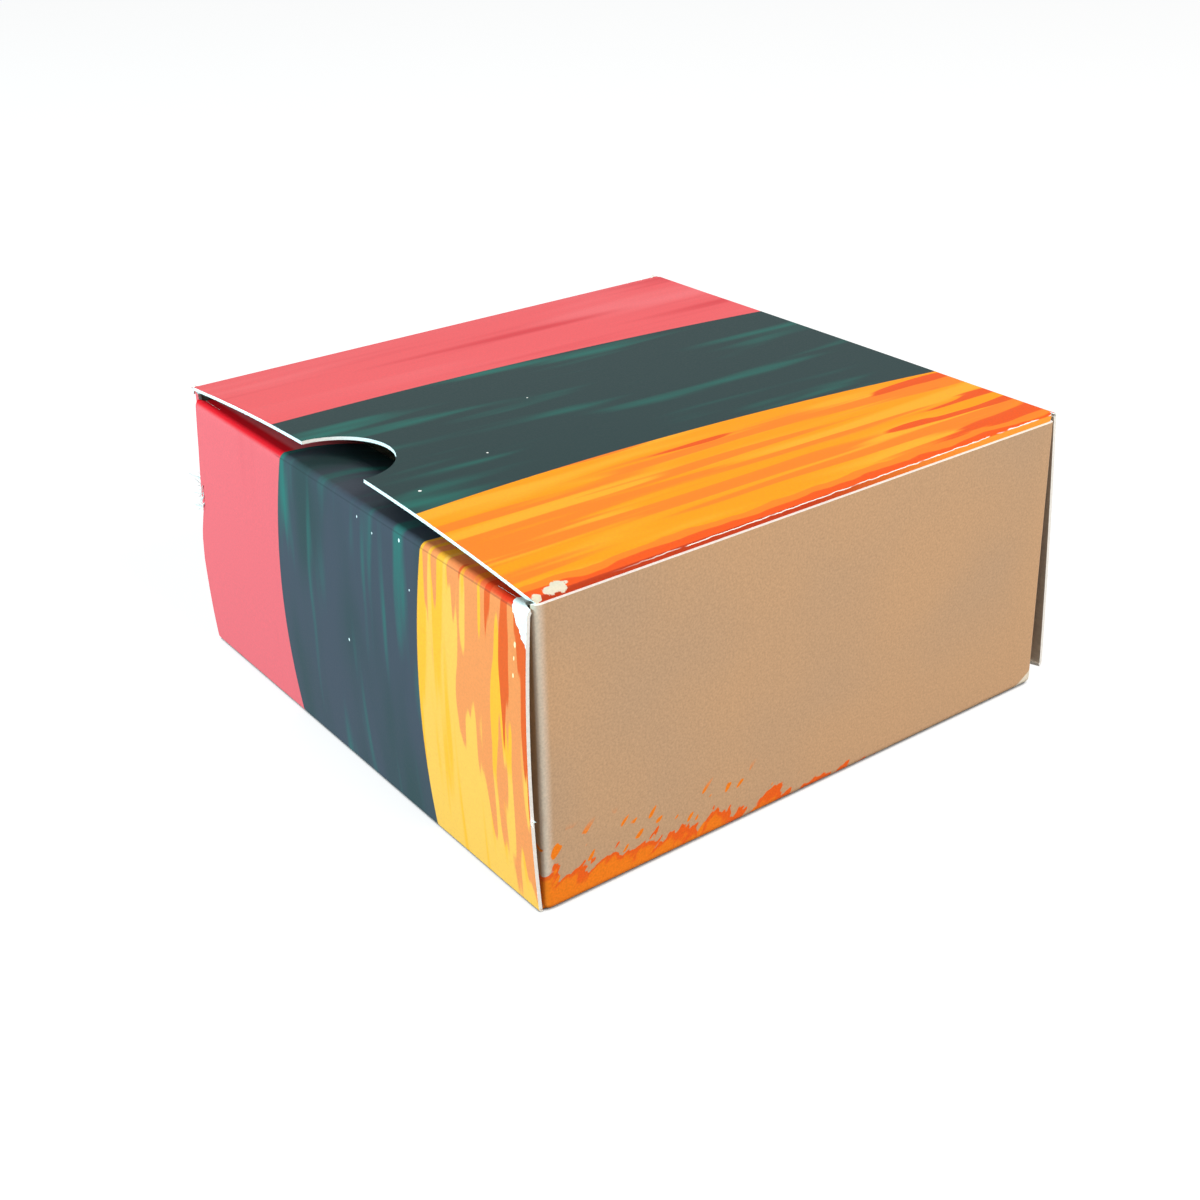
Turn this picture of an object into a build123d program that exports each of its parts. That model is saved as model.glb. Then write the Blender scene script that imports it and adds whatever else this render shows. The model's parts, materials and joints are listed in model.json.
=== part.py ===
"""Tuck-end gift carton, folded from one sheet of board and glued along one seam.

The carton lies on its bottom panel with both lids tucked in. +Z is up, the front lid faces -Y, the
seam panel faces +X, and the origin is the middle of the bottom panel's outer face. Millimetres.
"""

import os
from math import atan2, degrees

from build123d import *

# Carton without its lids, measured outside from crease to crease
width = 100.0
depth = 100.0
height = 48.0

# Board, and the air left at the two lid creases
board = 0.55
crease_radius = 1.0
hinge_gap = 0.05

# Top panel: its front edge is free and bows up, its rear edge is held straight by a crease
front_bow = 2.5
rear_bow = 0.2

# Thumb notches, off the middle of the top panel's front edge and the bottom panel's rear edge
notch_radius = 9.4
notch_offset = -1.4

# Seam: the seam panel stops short of the top crease and is glued over the glue flap
seam_drop = 1.15
fold_return = 0.3
glue_width = 13.0
glue_inset = 3.0
glue_taper = 7.0

# Lids: they lie over the carton's ends, the front one bulged, the rear one gaping at its lower edge
lid_side_gap = 0.6
lid_top_gap = 1.6
lid_corner_radius = 0.4
front_lid_bulge = 0.9
rear_lid_bulge = 0.25
rear_lid_gape = 2.4

# Tuck tongues, with a slit behind each end of the crease and the fold cut back beside them
tongue_depth = 15.0
tongue_inset = 2.0
tongue_corner_radius = 9.0
slit_length = 6.0
slit_width = 0.5
slit_setback = 0.2
shoulder_cut = 0.5

# Dust flaps, behind the lids
flap_length = 40.0
flap_gap = 0.25
flap_clearance = 0.5
flap_taper = 5.0
flap_shoulder = 4.0
flap_corner_radius = 4.0

# Places that follow from these
half_width = width / 2
half_depth = depth / 2
lid_face = half_depth + board
panel_end = half_depth - hinge_gap
flap_face = half_depth - flap_gap
seam_face = half_width - board
seam_top = height - seam_drop
top_left = -half_width + crease_radius + fold_return
top_right = seam_face - crease_radius - fold_return
fold_low = height - crease_radius - fold_return
lid_width = width - 2 * lid_side_gap
lid_height = height - lid_top_gap
flap_root = half_width - crease_radius - fold_return
flap_tip = half_width - flap_length
flap_low = board + flap_clearance
flap_high = lid_height - board - flap_clearance


def folded_strip(*corners, side):
    """Outline of a strip of board folded at its inner corners, from the corners of its outer face."""
    with BuildLine() as strip:
        outer = FilletPolyline(*corners, radius=crease_radius)
        offset(outer, amount=board, side=side)
    return strip.line


def top_section(y, bow):
    """Section of the top panel at a place along the carton, bowed up by a given height."""
    upper = height
    lower = height - board
    middle = (top_left + top_right) / 2
    with BuildSketch(Plane.XZ.offset(-y)) as section:
        with BuildLine():
            ThreePointArc((top_left, upper), (middle, upper + bow), (top_right, upper))
            Line((top_right, upper), (top_right, lower))
            ThreePointArc((top_right, lower), (middle, lower + bow), (top_left, lower))
            Line((top_left, lower), (top_left, upper))
        make_face()
    return section.sketch


def dust_flap(face, side, low, high):
    """Outline of a dust flap: a shoulder by its crease, then edges that taper to a round tip."""
    with BuildSketch(face) as flap:
        with BuildLine():
            Polyline(
                (side * flap_root, low),
                (side * (flap_root - flap_shoulder), low),
                (side * flap_tip, low + flap_taper),
                (side * flap_tip, high - flap_taper),
                (side * (flap_root - flap_shoulder), high),
                (side * flap_root, high),
                close=True,
            )
        make_face()
        tip_corners = flap.vertices().group_by(Axis.X)[0 if side > 0 else -1]
        fillet(tip_corners, flap_corner_radius)
    return flap.sketch


def tuck_lid(hinge, bulge, gape):
    """Fold a lid and its tongue. The hinge plane has X into the carton and Y along the lid."""
    lid_edge = Vector(board / 2 - gape, lid_height - board / 2)
    tongue_radius = lid_edge.length
    crease_angle = degrees(atan2(lid_edge.Y, lid_edge.X))
    tongue_angle = degrees(tongue_depth / tongue_radius)
    with BuildLine() as lid_profile:
        ThreePointArc((board / 2, 0), (board / 2 - bulge - gape / 2, lid_height / 2), lid_edge)
        CenterArc((0, 0), tongue_radius, crease_angle, -tongue_angle)
        fillet(lid_profile.vertices().sort_by_distance(lid_edge)[0], crease_radius - board / 2)

    tongue_floor = lid_height - tongue_depth / 2
    tongue_start = crease_radius + slit_setback - gape
    tongue_end = tongue_start + tongue_depth
    tongue_half = lid_width / 2 - tongue_inset

    with BuildPart() as lid:
        # Bulged panel, and a tongue that curves about the hinge so that it slides out as the lid turns
        with BuildSketch(hinge) as section:
            trace(lid_profile.line, line_width=board)
            fillet(section.vertices().sort_by_distance((0, 0))[0], lid_corner_radius)
        extrude(amount=lid_width / 2, both=True)

        # Cut the tongue to its outline, with a slit behind each end of its crease and the fold cut back beside it
        with BuildSketch(Plane(hinge.origin, x_dir=hinge.x_dir, z_dir=hinge.y_dir).offset(tongue_floor)):
            with Locations((tongue_start + lid_width / 2, 0)):
                Rectangle(lid_width, lid_width)
            with BuildLine():
                tongue_edge = FilletPolyline(
                    (tongue_start, -tongue_half),
                    (tongue_end, -tongue_half),
                    (tongue_end, tongue_half),
                    (tongue_start, tongue_half),
                    radius=tongue_corner_radius,
                )
                Line(tongue_edge @ 1, tongue_edge @ 0)
            make_face(mode=Mode.SUBTRACT)
            slit_middle = tongue_half - slit_length / 2
            with Locations(*[(tongue_start + slit_width / 2, side * slit_middle) for side in (-1, 1)]):
                Rectangle(slit_width, slit_length)
            shoulder_middle = tongue_half + tongue_inset / 2
            with Locations(*[(tongue_start - shoulder_cut / 2, side * shoulder_middle) for side in (-1, 1)]):
                Rectangle(shoulder_cut, tongue_inset)
        extrude(amount=lid_height, mode=Mode.SUBTRACT)
    return lid


with BuildPart() as carton_body:
    # Left side, bottom and seam panels in one folded strip, trimmed to the round of the end creases
    with BuildSketch(Plane.XZ):
        make_face(
            folded_strip(
                (-half_width, fold_low),
                (-half_width, 0),
                (half_width, 0),
                (half_width, seam_top),
                side=Side.LEFT,
            )
        )
    extrude(amount=flap_face, both=True)
    with BuildSketch():
        RectangleRounded(width, 2 * flap_face, crease_radius)
    extrude(amount=height, mode=Mode.INTERSECT)

    # Bottom panel, from the front lid's crease to its free rear edge
    with BuildSketch():
        with Locations((0, (half_depth - panel_end) / 2)):
            Rectangle(2 * flap_root, half_depth + panel_end)
    extrude(amount=board)

    # Creases at both ends of the side panels, which turn into the dust flaps
    for side, panel_top in ((-1, fold_low), (1, seam_top)):
        with BuildSketch(Plane.XY.offset(crease_radius)):
            make_face(
                folded_strip(
                    (side * flap_root, -flap_face),
                    (side * half_width, -flap_face),
                    (side * half_width, flap_face),
                    (side * flap_root, flap_face),
                    side=Side.LEFT if side > 0 else Side.RIGHT,
                )
            )
        extrude(amount=panel_top - crease_radius)

    # Dust flaps: those at the rear hang from the top, because the rear lid tucks in at the bottom
    front_face = Plane.XZ.offset(flap_face)
    rear_face = Plane.XZ.offset(board - flap_face)
    for side in (-1, 1):
        extrude(dust_flap(front_face, side, flap_low, flap_high), amount=-board)
        extrude(dust_flap(rear_face, side, height - flap_high, height - flap_low), amount=-board)

    # Top panel, from its free front edge to the rear lid's crease, with its two long creases
    loft([top_section(-half_depth, front_bow), top_section(panel_end, rear_bow)], ruled=True)
    with BuildSketch(Plane.XZ.offset(half_depth)):
        make_face(
            folded_strip(
                (top_left, height), (-half_width, height), (-half_width, fold_low), side=Side.LEFT
            )
        )
        make_face(
            folded_strip(
                (top_right, height), (seam_face, height), (seam_face, fold_low), side=Side.RIGHT
            )
        )
    extrude(amount=-half_depth - panel_end)

    # Glue flap, behind the seam panel
    glue_top = half_depth - glue_inset
    glue_foot = glue_top - glue_taper
    with BuildSketch(Plane.YZ.offset(seam_face)):
        with BuildLine():
            Polyline(
                (-glue_top, height - crease_radius),
                (glue_top, height - crease_radius),
                (glue_foot, height - glue_width),
                (-glue_foot, height - glue_width),
                close=True,
            )
        make_face()
    extrude(amount=-board)

    # Thumb notches in the two free edges
    with BuildSketch(Plane.XY.offset(lid_height)):
        with Locations((notch_offset, -half_depth)):
            Circle(notch_radius)
    extrude(amount=lid_top_gap + front_bow + board, mode=Mode.SUBTRACT)
    with BuildSketch():
        with Locations((notch_offset, half_depth)):
            Circle(notch_radius)
    extrude(amount=board, mode=Mode.SUBTRACT)

front_hinge = Plane((0, -lid_face, 0), x_dir=(0, 1, 0), z_dir=(1, 0, 0))
rear_hinge = Plane((0, lid_face, height), x_dir=(0, -1, 0), z_dir=(1, 0, 0))
front_lid = tuck_lid(front_hinge, front_lid_bulge, gape=0)
rear_lid = tuck_lid(rear_hinge, rear_lid_bulge, gape=rear_lid_gape)

carton_body.part.label = "carton_body"
front_lid.part.label = "front_lid"
rear_lid.part.label = "rear_lid"

os.makedirs("parts", exist_ok=True)
export_step(carton_body.part, "parts/carton_body.step")
export_step(front_lid.part, "parts/front_lid.step")
export_step(rear_lid.part, "parts/rear_lid.step")
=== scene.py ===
"""Looks of a folded tuck-end gift carton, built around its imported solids.

The printed sheet, its two lids, the creases that they turn on and the loose paper fibres are modelled as
they are on the real carton, then the stage is set. Everything is in metres, in the frame of the solids.
"""

import json
import math
import random

import bmesh
import bpy
from mathutils import Matrix, Vector


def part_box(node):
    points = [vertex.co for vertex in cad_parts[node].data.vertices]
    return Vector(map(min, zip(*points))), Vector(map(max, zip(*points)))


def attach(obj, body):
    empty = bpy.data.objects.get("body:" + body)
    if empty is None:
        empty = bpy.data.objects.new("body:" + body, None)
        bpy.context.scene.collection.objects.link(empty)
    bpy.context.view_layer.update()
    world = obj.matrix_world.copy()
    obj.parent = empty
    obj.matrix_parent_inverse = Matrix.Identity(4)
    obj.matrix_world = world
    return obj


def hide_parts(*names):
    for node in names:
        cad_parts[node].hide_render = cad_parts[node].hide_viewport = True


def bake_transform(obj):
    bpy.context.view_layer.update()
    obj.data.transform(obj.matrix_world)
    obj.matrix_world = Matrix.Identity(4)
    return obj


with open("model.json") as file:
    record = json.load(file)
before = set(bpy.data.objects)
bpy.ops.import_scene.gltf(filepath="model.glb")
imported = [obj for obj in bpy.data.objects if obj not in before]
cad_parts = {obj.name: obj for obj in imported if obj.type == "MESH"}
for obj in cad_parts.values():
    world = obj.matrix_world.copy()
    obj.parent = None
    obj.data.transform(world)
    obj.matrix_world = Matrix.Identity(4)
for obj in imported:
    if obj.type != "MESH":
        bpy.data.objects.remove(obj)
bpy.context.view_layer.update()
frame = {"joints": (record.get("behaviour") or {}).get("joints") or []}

bl_info = {
    "name": "Gift carton",
    "version": (1, 0, 0),
    "blender": (4, 5, 0),
    "location": "View3D > Sidebar > Carton",
    "description": "Folds a printed gift carton around its solids and sets its stage",
    "category": "Object",
}

# A millimetre in metres, and how near two lengths in mm count as the same or as doubles
MM = 0.001
NEAR = 0.02
DOUBLES = 0.005

BODY_LOW, BODY_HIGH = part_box("carton_body")
LID_LOW, LID_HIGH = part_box("front_lid")
HINGES = {joint["child"]: Vector(joint["pos_m"]) for joint in frame["joints"]}
CARTON_HEIGHT = HINGES["rear_lid"].z

# Materials of the unprinted back and of the cut edges
BARE = ("white board back", "white board cut edge")

# Kinds of node and their settings
MATH = "ShaderNodeMath"
VECTOR = "ShaderNodeVectorMath"
RANGE = "ShaderNodeMapRange"
MIX = "ShaderNodeMix"
NOISE = "ShaderNodeTexNoise"
LESS = {"operation": "SUBTRACT"}
TIMES = {"operation": "MULTIPLY"}
TIMES_PLUS = {"operation": "MULTIPLY_ADD"}
SMOOTH = {"interpolation_type": "SMOOTHSTEP"}
OVER = {"data_type": "RGBA", "out": 2}

# Flat strip beside a crease of the top panel and past a lid's fold, in mm, and a hinge strip's round share
FOLD_RETURN = 0.3
FOLD_MARGIN = 0.05
HINGE_ROUND = 0.8

# Steps in a quarter turn
FOLD_STEPS = 4
LID_FOLD_STEPS = 5
HINGE_STEPS = 5
FLAP_CORNER_STEPS = 5
TONGUE_CORNER_STEPS = 8
SMOOTH_ANGLE = math.radians(35)

# Where sheets are cut across so that they can bend, in mm
PANEL_SCORES = range(-45, 49, 5)
LID_SCORES = range(2, 45, 2)
TONGUE_SCORES = (4.0, 6.5, 9.0, 11.5)

# How near to the carton's middle an edge along it has its own, in mm
MIDDLE = 5.0

# How much a dust flap's normal points along the carton at least
FLAP_TURN = 0.15

# Round cutter for the notches: its sides and its length in mm
NOTCH_SIDES = 128
NOTCH_CUT = 12.0

# Left edge of the front lid: heights, how far in from a straight edge the real one lies there, and how far
# from that edge the sheet is drawn along with it, in mm
LID_EDGE_HEIGHTS = (0.0, 6.0, 16.0, 21.0, 26.0, 31.0, 38.0, 46.4)
LID_EDGE_SHIFTS = (-1.5, -1.7, -1.7, -1.1, 0.6, 0.7, 1.0, 0.9)
LID_EDGE = tuple(zip(LID_EDGE_HEIGHTS, LID_EDGE_SHIFTS))
LID_EDGE_REACH = 9.0

# Fibres: how many, where their row starts and ends, which way they lean, least and greatest length, materials
LID_FIBRES = (
    (14, (-48.7, -51.3, 25.4), (-48.7, -51.2, 33.6), (-1.0, -0.3, 0.3), 0.8, 2.8, (0, 1, 1)),
    (9, (-48.0, -51.4, 27.2), (-47.7, -51.4, 31.4), (-0.5, -0.25, -0.9), 1.0, 2.4, (0,)),
    (5, (49.3, -51.1, 14.3), (49.3, -51.1, 15.4), (1.0, -0.4, -0.1), 0.8, 1.4, (0, 1, 1)),
)
CARTON_FIBRES = ((12, (-50.4, 42.0, 47.6), (-49.6, 49.9, 47.8), (-0.7, 0.3, 0.7), 0.4, 1.3, (0, 1, 1)),)
FIBRE_SEED = 7
FIBRE_WIDTHS = (0.2, 0.5)
FIBRE_FLATNESS = 0.4
FIBRE_STRAY = 0.5

# One strand, a millimetre long: sides, radii of its root and tip, where it is cut across, and its curl
STRAND_SIDES = 6
STRAND_ROOT = 0.5
STRAND_TIP = 0.08
STRAND_SCORES = (-0.25, 0.0, 0.25)
STRAND_CURL = 0.5

# Painted edges of the bands in mm: place across, bend and the middle of the bend along the band
TOP_DARK_EDGE = (-22.2, 0.00085, -11.0)
TOP_ORANGE_EDGE = (20.5, 0.0011, -10.0)
LID_DARK_EDGE = (-20.15, 0.0040, 21.4)
LID_ORANGE_EDGE = (22.25, 0.0026, 21.4)
EDGE_SOFTNESS = 0.1

# Brush strokes: width and length in mm, seed, and the two levels of their noise between which they fade in
STROKES = {
    "top deep red": ((4.0, 80.0), 3.0, (0.5, 0.8)),
    "top pale red": ((7.0, 70.0), 4.0, (0.5, 0.8)),
    "top green": ((4.2, 42.0), 5.0, (0.52, 0.82)),
    "top amber": ((5.0, 60.0), 7.0, (0.45, 0.6)),
    "top deep orange": ((2.6, 60.0), 8.0, (0.52, 0.6)),
    "top flame": ((3.4, 34.0), 9.0, (0.7, 0.74)),
    "lid deep red": ((8.0, 90.0), 11.0, (0.5, 1.0)),
    "lid slate": ((9.0, 40.0), 16.0, (0.25, 0.6)),
    "lid green": ((3.6, 34.0), 12.0, (0.54, 0.8)),
    "lid yellow": ((2.6, 40.0), 13.0, (0.48, 0.56)),
    "lid salmon": ((2.6, 26.0), 14.0, (0.46, 0.5)),
    "lid flame": ((2.4, 26.0), 15.0, (0.66, 0.7)),
}

# Strips of deeper ink along the seam crease: where each starts, in mm across, and how far that sways
SEAM_DEEP_START = 44.6
SEAM_FLAME_START = 46.1
SEAM_SWAY = 4.0

# Worn spots: their middles and radii in mm, and how much longer than wide they are along x, y and z
TOP_SCUFFS = (((48.7, -45.1, 47.85), 0.95), ((48.9, -46.5, 47.8), 0.75), ((49.2, -48.9, 47.4), 0.6))
TOP_SCUFF_STRETCH = (1.0, 1.3, 1.0)
TOP_SPECKS = (((16.15, -45.65, 50.1), 0.26), ((10.05, -30.3, 49.9), 0.2), ((-6.0, -12.0, 49.5), 0.16))
TOP_SPECK_STRETCH = (1.0, 1.0, 1.0)
LID_FLECKS = (((46.9, -51.1, 40.6), 0.22), ((46.7, -51.1, 38.6), 0.16), ((46.5, -51.1, 36.0), 0.18))
LID_FLECK_STRETCH = (0.8, 12.0, 1.8)
LID_SPECKS = (
    ((6.3, -51.1, 44.2), 0.15),
    ((10.6, -51.1, 43.1), 0.15),
    ((18.2, -51.1, 44.7), 0.26),
    ((1.9, -51.1, 22.4), 0.2),
    ((20.8, -51.1, 38.1), 0.15),
)
LID_SPECK_STRETCH = (0.8, 12.0, 1.3)

# Finishes: roughness, grain in mm, how much the grain mottles the colour, and how strong its relief is
# The grain is drawn about ten times coarser than paper fibre, so that it shows
PRINT_FINISH = (0.6, 0.35, 0.07, 0.25)
TAN_FINISH = (0.65, 0.35, 0.13, 0.3)
BACK_FINISH = (0.85, 0.5, 0.07, 0.5)
EDGE_FINISH = (0.85, 0.25, 0.07, 0.5)
GRAIN_LOW, GRAIN_HIGH = 0.25, 0.75
FIBRE_SHADE = 0.93
GLOSS_SWING = 0.06
RELIEF = 0.05
SPECULAR = 0.1

# Floor: width in metres, drop in mm, colour, lift towards white, and how shut in it is where the lift fades
# into a painted contact shadow
FLOOR_WIDTH = 6.0
FLOOR_DROP = 0.1
FLOOR_COLOUR = "#7C7C7C"
FLOOR_LIFT = 0.86
TOUCH_REACH = 2.0
TOUCH_SHUT, TOUCH_OPEN = 0.2, 0.5
TOUCH_SAMPLES = 8

# Lamps: place and target in metres, width in metres, watts and colour; and the level of the room's light
LAMPS = {
    "overhead": ((-0.15, -0.05, 0.75), (0, 0, 0.03), 0.14, 0.8, (1.0, 0.97, 0.93)),
    "front": ((-0.3, -0.95, 0.16), (0, -0.05, 0.02), 0.6, 22.0, (0.535, 0.885, 1.0)),
    "side": ((0.8, 0.15, 0.68), (0.05, 0, 0.02), 0.4, 10.0, (1.0, 0.96, 0.9)),
}
ROOM_LEVEL = 0.3

# Camera: turn, rise and roll in degrees, what it looks at and how far off in mm, then the photograph's width,
# focal length and optical centre in pixels
VIEW_ANGLES = (53.993, 23.835, -1.411)
VIEW_TARGET = (-13.996, 5.554, 24.528)
VIEW_DISTANCE = 297.4
PHOTO_WIDTH = 1200
PHOTO_FOCAL = 1690.658
PHOTO_CENTRE = (588.8, 496.7)
CLIP_START = 0.01


def linear(code):
    """Turn an sRGB hex colour into the linear values that Blender mixes."""
    parts = [int(code[i : i + 2], 16) / 255 for i in (1, 3, 5)]
    return [c / 12.92 if c <= 0.04045 else ((c + 0.055) / 1.055) ** 2.4 for c in parts]


def size(name, description, millimetres):
    """A length that a user may change."""
    return bpy.props.FloatProperty(
        name=name,
        description=description,
        default=millimetres * MM,
        precision=5,
        subtype="DISTANCE",
        unit="LENGTH",
    )


def ink(name, description, code):
    """A colour that a user may change."""
    return bpy.props.FloatVectorProperty(
        name=name, description=description, default=linear(code), size=3, min=0.0, max=1.0, subtype="COLOR"
    )


class CartonSizes(bpy.types.PropertyGroup):
    """Sizes of the board and its folds."""

    board: size("Board", "Thickness of the board", 0.55)
    crease: size("Crease radius", "Outer radius of a fold", 1.0)
    hinge_gap: size("Hinge gap", "Air between a panel's end and its lid", 0.05)
    front_bow: size("Front bow", "Rise of the top panel's free front edge", 2.5)
    rear_bow: size("Rear bow", "Rise of the top panel at its rear crease", 0.2)
    left_bow: size("Left bow", "How far the left side's top crease stands out", 0.9)
    notch: size("Notch radius", "Radius of the thumb notches", 9.4)
    notch_offset: size("Notch offset", "Distance of the notches from the middle", -1.4)
    flap: size("Dust flap", "Length of a dust flap", 40.0)
    flap_gap: size("Flap gap", "How far the dust flaps lie behind the panels' ends", 0.25)
    flap_clearance: size("Flap clearance", "Air above and below a dust flap", 0.5)
    flap_shoulder: size("Flap shoulder", "Straight part of a dust flap's edge, past its crease", 4.3)
    flap_taper: size("Flap taper", "How much a dust flap narrows at each edge", 5.0)
    flap_corner: size("Flap corner", "Corner radius of a dust flap's tip", 4.0)
    flap_lean: size("Flap lean", "How far a dust flap's tip leans into the carton", 6.0)
    glue: size("Glue flap", "Width of the glue flap", 13.0)
    glue_inset: size("Glue flap inset", "How far the glue flap's free edge is set in", 10.0)
    seam_drop: size("Seam drop", "Distance from the top crease to the seam panel's edge", 1.15)
    lap_gap: size("Lap gap", "Air between the seam panel and the glue flap", 0.02)
    lid_width: size("Lid width", "Width of both lids", (LID_HIGH.x - LID_LOW.x) / MM)
    lid_height: size("Lid height", "Height of both lids", 46.4)
    front_bulge: size("Front bulge", "Bulge of the front lid", 0.9)
    rear_bulge: size("Rear bulge", "Bulge of the rear lid", 0.25)
    rear_gape: size("Rear gape", "Gap at the rear lid's lower edge", 2.4)
    tongue: size("Tongue", "Depth of the tuck tongues", 15.0)
    tongue_corner: size("Tongue corner", "Corner radius of the tuck tongues", 9.0)
    tongue_inset: size("Tongue inset", "How far a tongue's ends are set in", 2.0)
    slit_length: size("Slit length", "Length of the slits at a tongue's crease", 6.0)
    slit: size("Slit", "Width of the slits at a tongue's crease", 0.06)
    shoulder: size("Shoulder cut", "How far the fold beside a tongue is cut back", 0.5)
    hinge: size("Hinge strip", "Width of the crushed strip at a lid crease", 0.6)
    skin: size("Crease skin", "Thickness of the board left at a lid crease", 0.18)


class CartonInks(bpy.types.PropertyGroup):
    """Colours of the print and of the bare board, and of the painted shade and light on the folds."""

    red: ink("Red", "Red band", "#E65F63")
    deep_red: ink("Deep red", "Darker strokes in the red band", "#D4454C")
    pale_red: ink("Pale red", "Lighter strokes in the red band", "#EA7074")
    dark: ink("Dark", "Dark band", "#283A3B")
    slate: ink("Slate", "Broad strokes in the front lid's dark band", "#3B3F48")
    green: ink("Green", "Strokes in the dark band", "#27665D")
    orange: ink("Orange", "Orange band", "#F7961A")
    deep_orange: ink("Deep orange", "Darker strokes in the orange band", "#F17F27")
    flame: ink("Flame", "Red strokes in the orange band", "#E35620")
    amber: ink("Amber", "Lighter strokes in the orange band", "#FAA52E")
    yellow: ink("Yellow", "Bright strokes in the front lid's orange band", "#F9AD4B")
    tan: ink("Tan", "Seam panel", "#C9A27D")
    splash: ink("Splash", "Paint along the seam panel's foot", "#F5821F")
    inside: ink("Inside", "Unprinted side of the board", "#D8CCBC")
    raw: ink("Raw edge", "Cut edge of the board and bare wear", "#F1EFEA")
    # The next two are painted shade and painted light on the round of the seam crease, not ink
    seam_painted_shade: ink("Seam shade", "Strip below the cracked ink, near the front", "#B23A18")
    seam_painted_light: ink("Seam glow", "Strip below the cracked ink, near the rear", "#EE9234")
    scuff: ink("Scuff", "Board where the seam crease is scuffed", "#DAD3BE")
    # The next two are painted shade under the top panel's lip, on the front lid's fold, not ink
    lip_shade_red: ink("Fold red", "Red band along the front lid's fold", "#DE0F1E")
    lip_shade_flame: ink("Fold flame", "Orange band along the front lid's fold", "#DC2F10")
    salmon: ink("Salmon", "Drips in the front lid's orange band", "#F0864A")
    # The next one is painted shade in the score along the front lid's fold, not ink
    score_shade: ink("Groove", "Scored line along the front lid's fold", "#161C1E")
    fleck: ink("Fleck", "Thin ink below the front lid's torn corner", "#F5DDA8")
    pale_tan: ink("Pale tan", "Lighter clouds in the seam panel", "#BF9E7F")
    # The next one is wear and painted highlight on the rounds of the end creases
    worn_and_highlit_tan: ink("Worn tan", "Seam panel at its end creases", "#DCCCBB")
    worn_foot: ink("Worn foot", "Seam panel at its rear foot", "#E9DFCC")
    splash_tip: ink("Splash tip", "Upper edge of the splashed paint", "#EE6420")


def mm(sizes, *names):
    """Some of the carton's sizes, in millimetres."""
    return [getattr(sizes, name) / MM for name in names]


def wire(tree, kind, ins=(), out=0, **settings):
    """Add a node, set it, feed its inputs with values or other nodes' outputs, and return an output."""
    node = tree.nodes.new(kind)
    for name, value in settings.items():
        setattr(node, name, value)
    for key, value in dict(ins).items():
        if isinstance(value, bpy.types.NodeSocket):
            tree.links.new(value, node.inputs[key])
        else:
            node.inputs[key].default_value = value
    return node.outputs[out] if node.outputs else None


def rgba(colour):
    """A colour as a node's socket takes it."""
    return (*colour, 1.0)


def sheet_place(tree):
    """Object coordinates in millimetres, as a vector and as x, y and z."""
    place = wire(tree, "ShaderNodeTexCoord", out="Object")
    place = wire(tree, VECTOR, {0: place, "Scale": 1 / MM}, operation="SCALE")
    return place, *wire(tree, "ShaderNodeSeparateXYZ", {0: place}).node.outputs


def ripple(tree, place, grain, seed, detail=1.5):
    """Smooth noise, about 0.5, whose grain in millimetres is given along x, y and z."""
    sizes = {0: place, 1: tuple(1 / g for g in grain), 2: (seed, seed * 1.7, seed * 0.6)}
    drawn = wire(tree, VECTOR, sizes, **TIMES_PLUS)
    return wire(tree, NOISE, {"Vector": drawn, "Scale": 1.0, "Detail": detail, "Roughness": 0.55})


def brush(tree, under, paint, place, stroke, lift=None):
    """Brush strokes over a colour. A lift added to their noise makes them denser where it is large."""
    (wide, long), seed, (low, high) = STROKES[stroke]
    level = ripple(tree, place, (wide, long, long), seed)
    if lift:
        level = wire(tree, MATH, {0: level, 1: lift}, operation="ADD")
    mask = wire(tree, RANGE, {0: level, 1: low, 2: high}, **SMOOTH)
    return wire(tree, MIX, {0: mask, 6: under, 7: rgba(paint)}, **OVER)


def past_edge(tree, under, over, across, along, edge):
    """One colour past the painted edge of another, a shallow curve given by its place, bend and middle."""
    at, bend, middle = edge
    lag = wire(tree, MATH, {0: along, 1: middle}, **LESS)
    square = wire(tree, MATH, {0: lag, 1: lag}, **TIMES)
    line = wire(tree, MATH, {0: square, 1: bend, 2: at}, **TIMES_PLUS)
    past = wire(tree, MATH, {0: across, 1: line}, **LESS)
    mask = wire(tree, RANGE, {0: past, 1: -EDGE_SOFTNESS, 2: EDGE_SOFTNESS}, **SMOOTH)
    return wire(tree, MIX, {0: mask, 6: under, 7: over}, **OVER)


def worn_spots(tree, under, bare, place, stretch, marks):
    """Small ragged spots worn through a colour, each given by its middle and its radius in millimetres."""
    scale = tuple(1 / s for s in stretch)
    drawn = wire(tree, VECTOR, {0: place, 1: scale}, **TIMES)
    ragged = ripple(tree, place, (0.6, 0.6, 0.6), 1.0, 2.0)
    nearest = 9.0
    for middle, radius in marks:
        centre = tuple(m * k for m, k in zip(middle, scale))
        away = wire(tree, VECTOR, {0: drawn, 1: centre}, operation="DISTANCE", out="Value")
        away = wire(tree, MATH, {0: away, 1: 1 / radius}, **TIMES)
        nearest = wire(tree, MATH, {0: nearest, 1: away}, operation="MINIMUM")
    rim = wire(tree, MATH, {0: ragged, 1: 1.4, 2: nearest}, **TIMES_PLUS)
    mask = wire(tree, RANGE, {0: rim, 1: 1.85, 2: 1.6}, **SMOOTH)
    return wire(tree, MIX, {0: mask, 6: under, 7: rgba(bare)}, **OVER)


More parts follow.
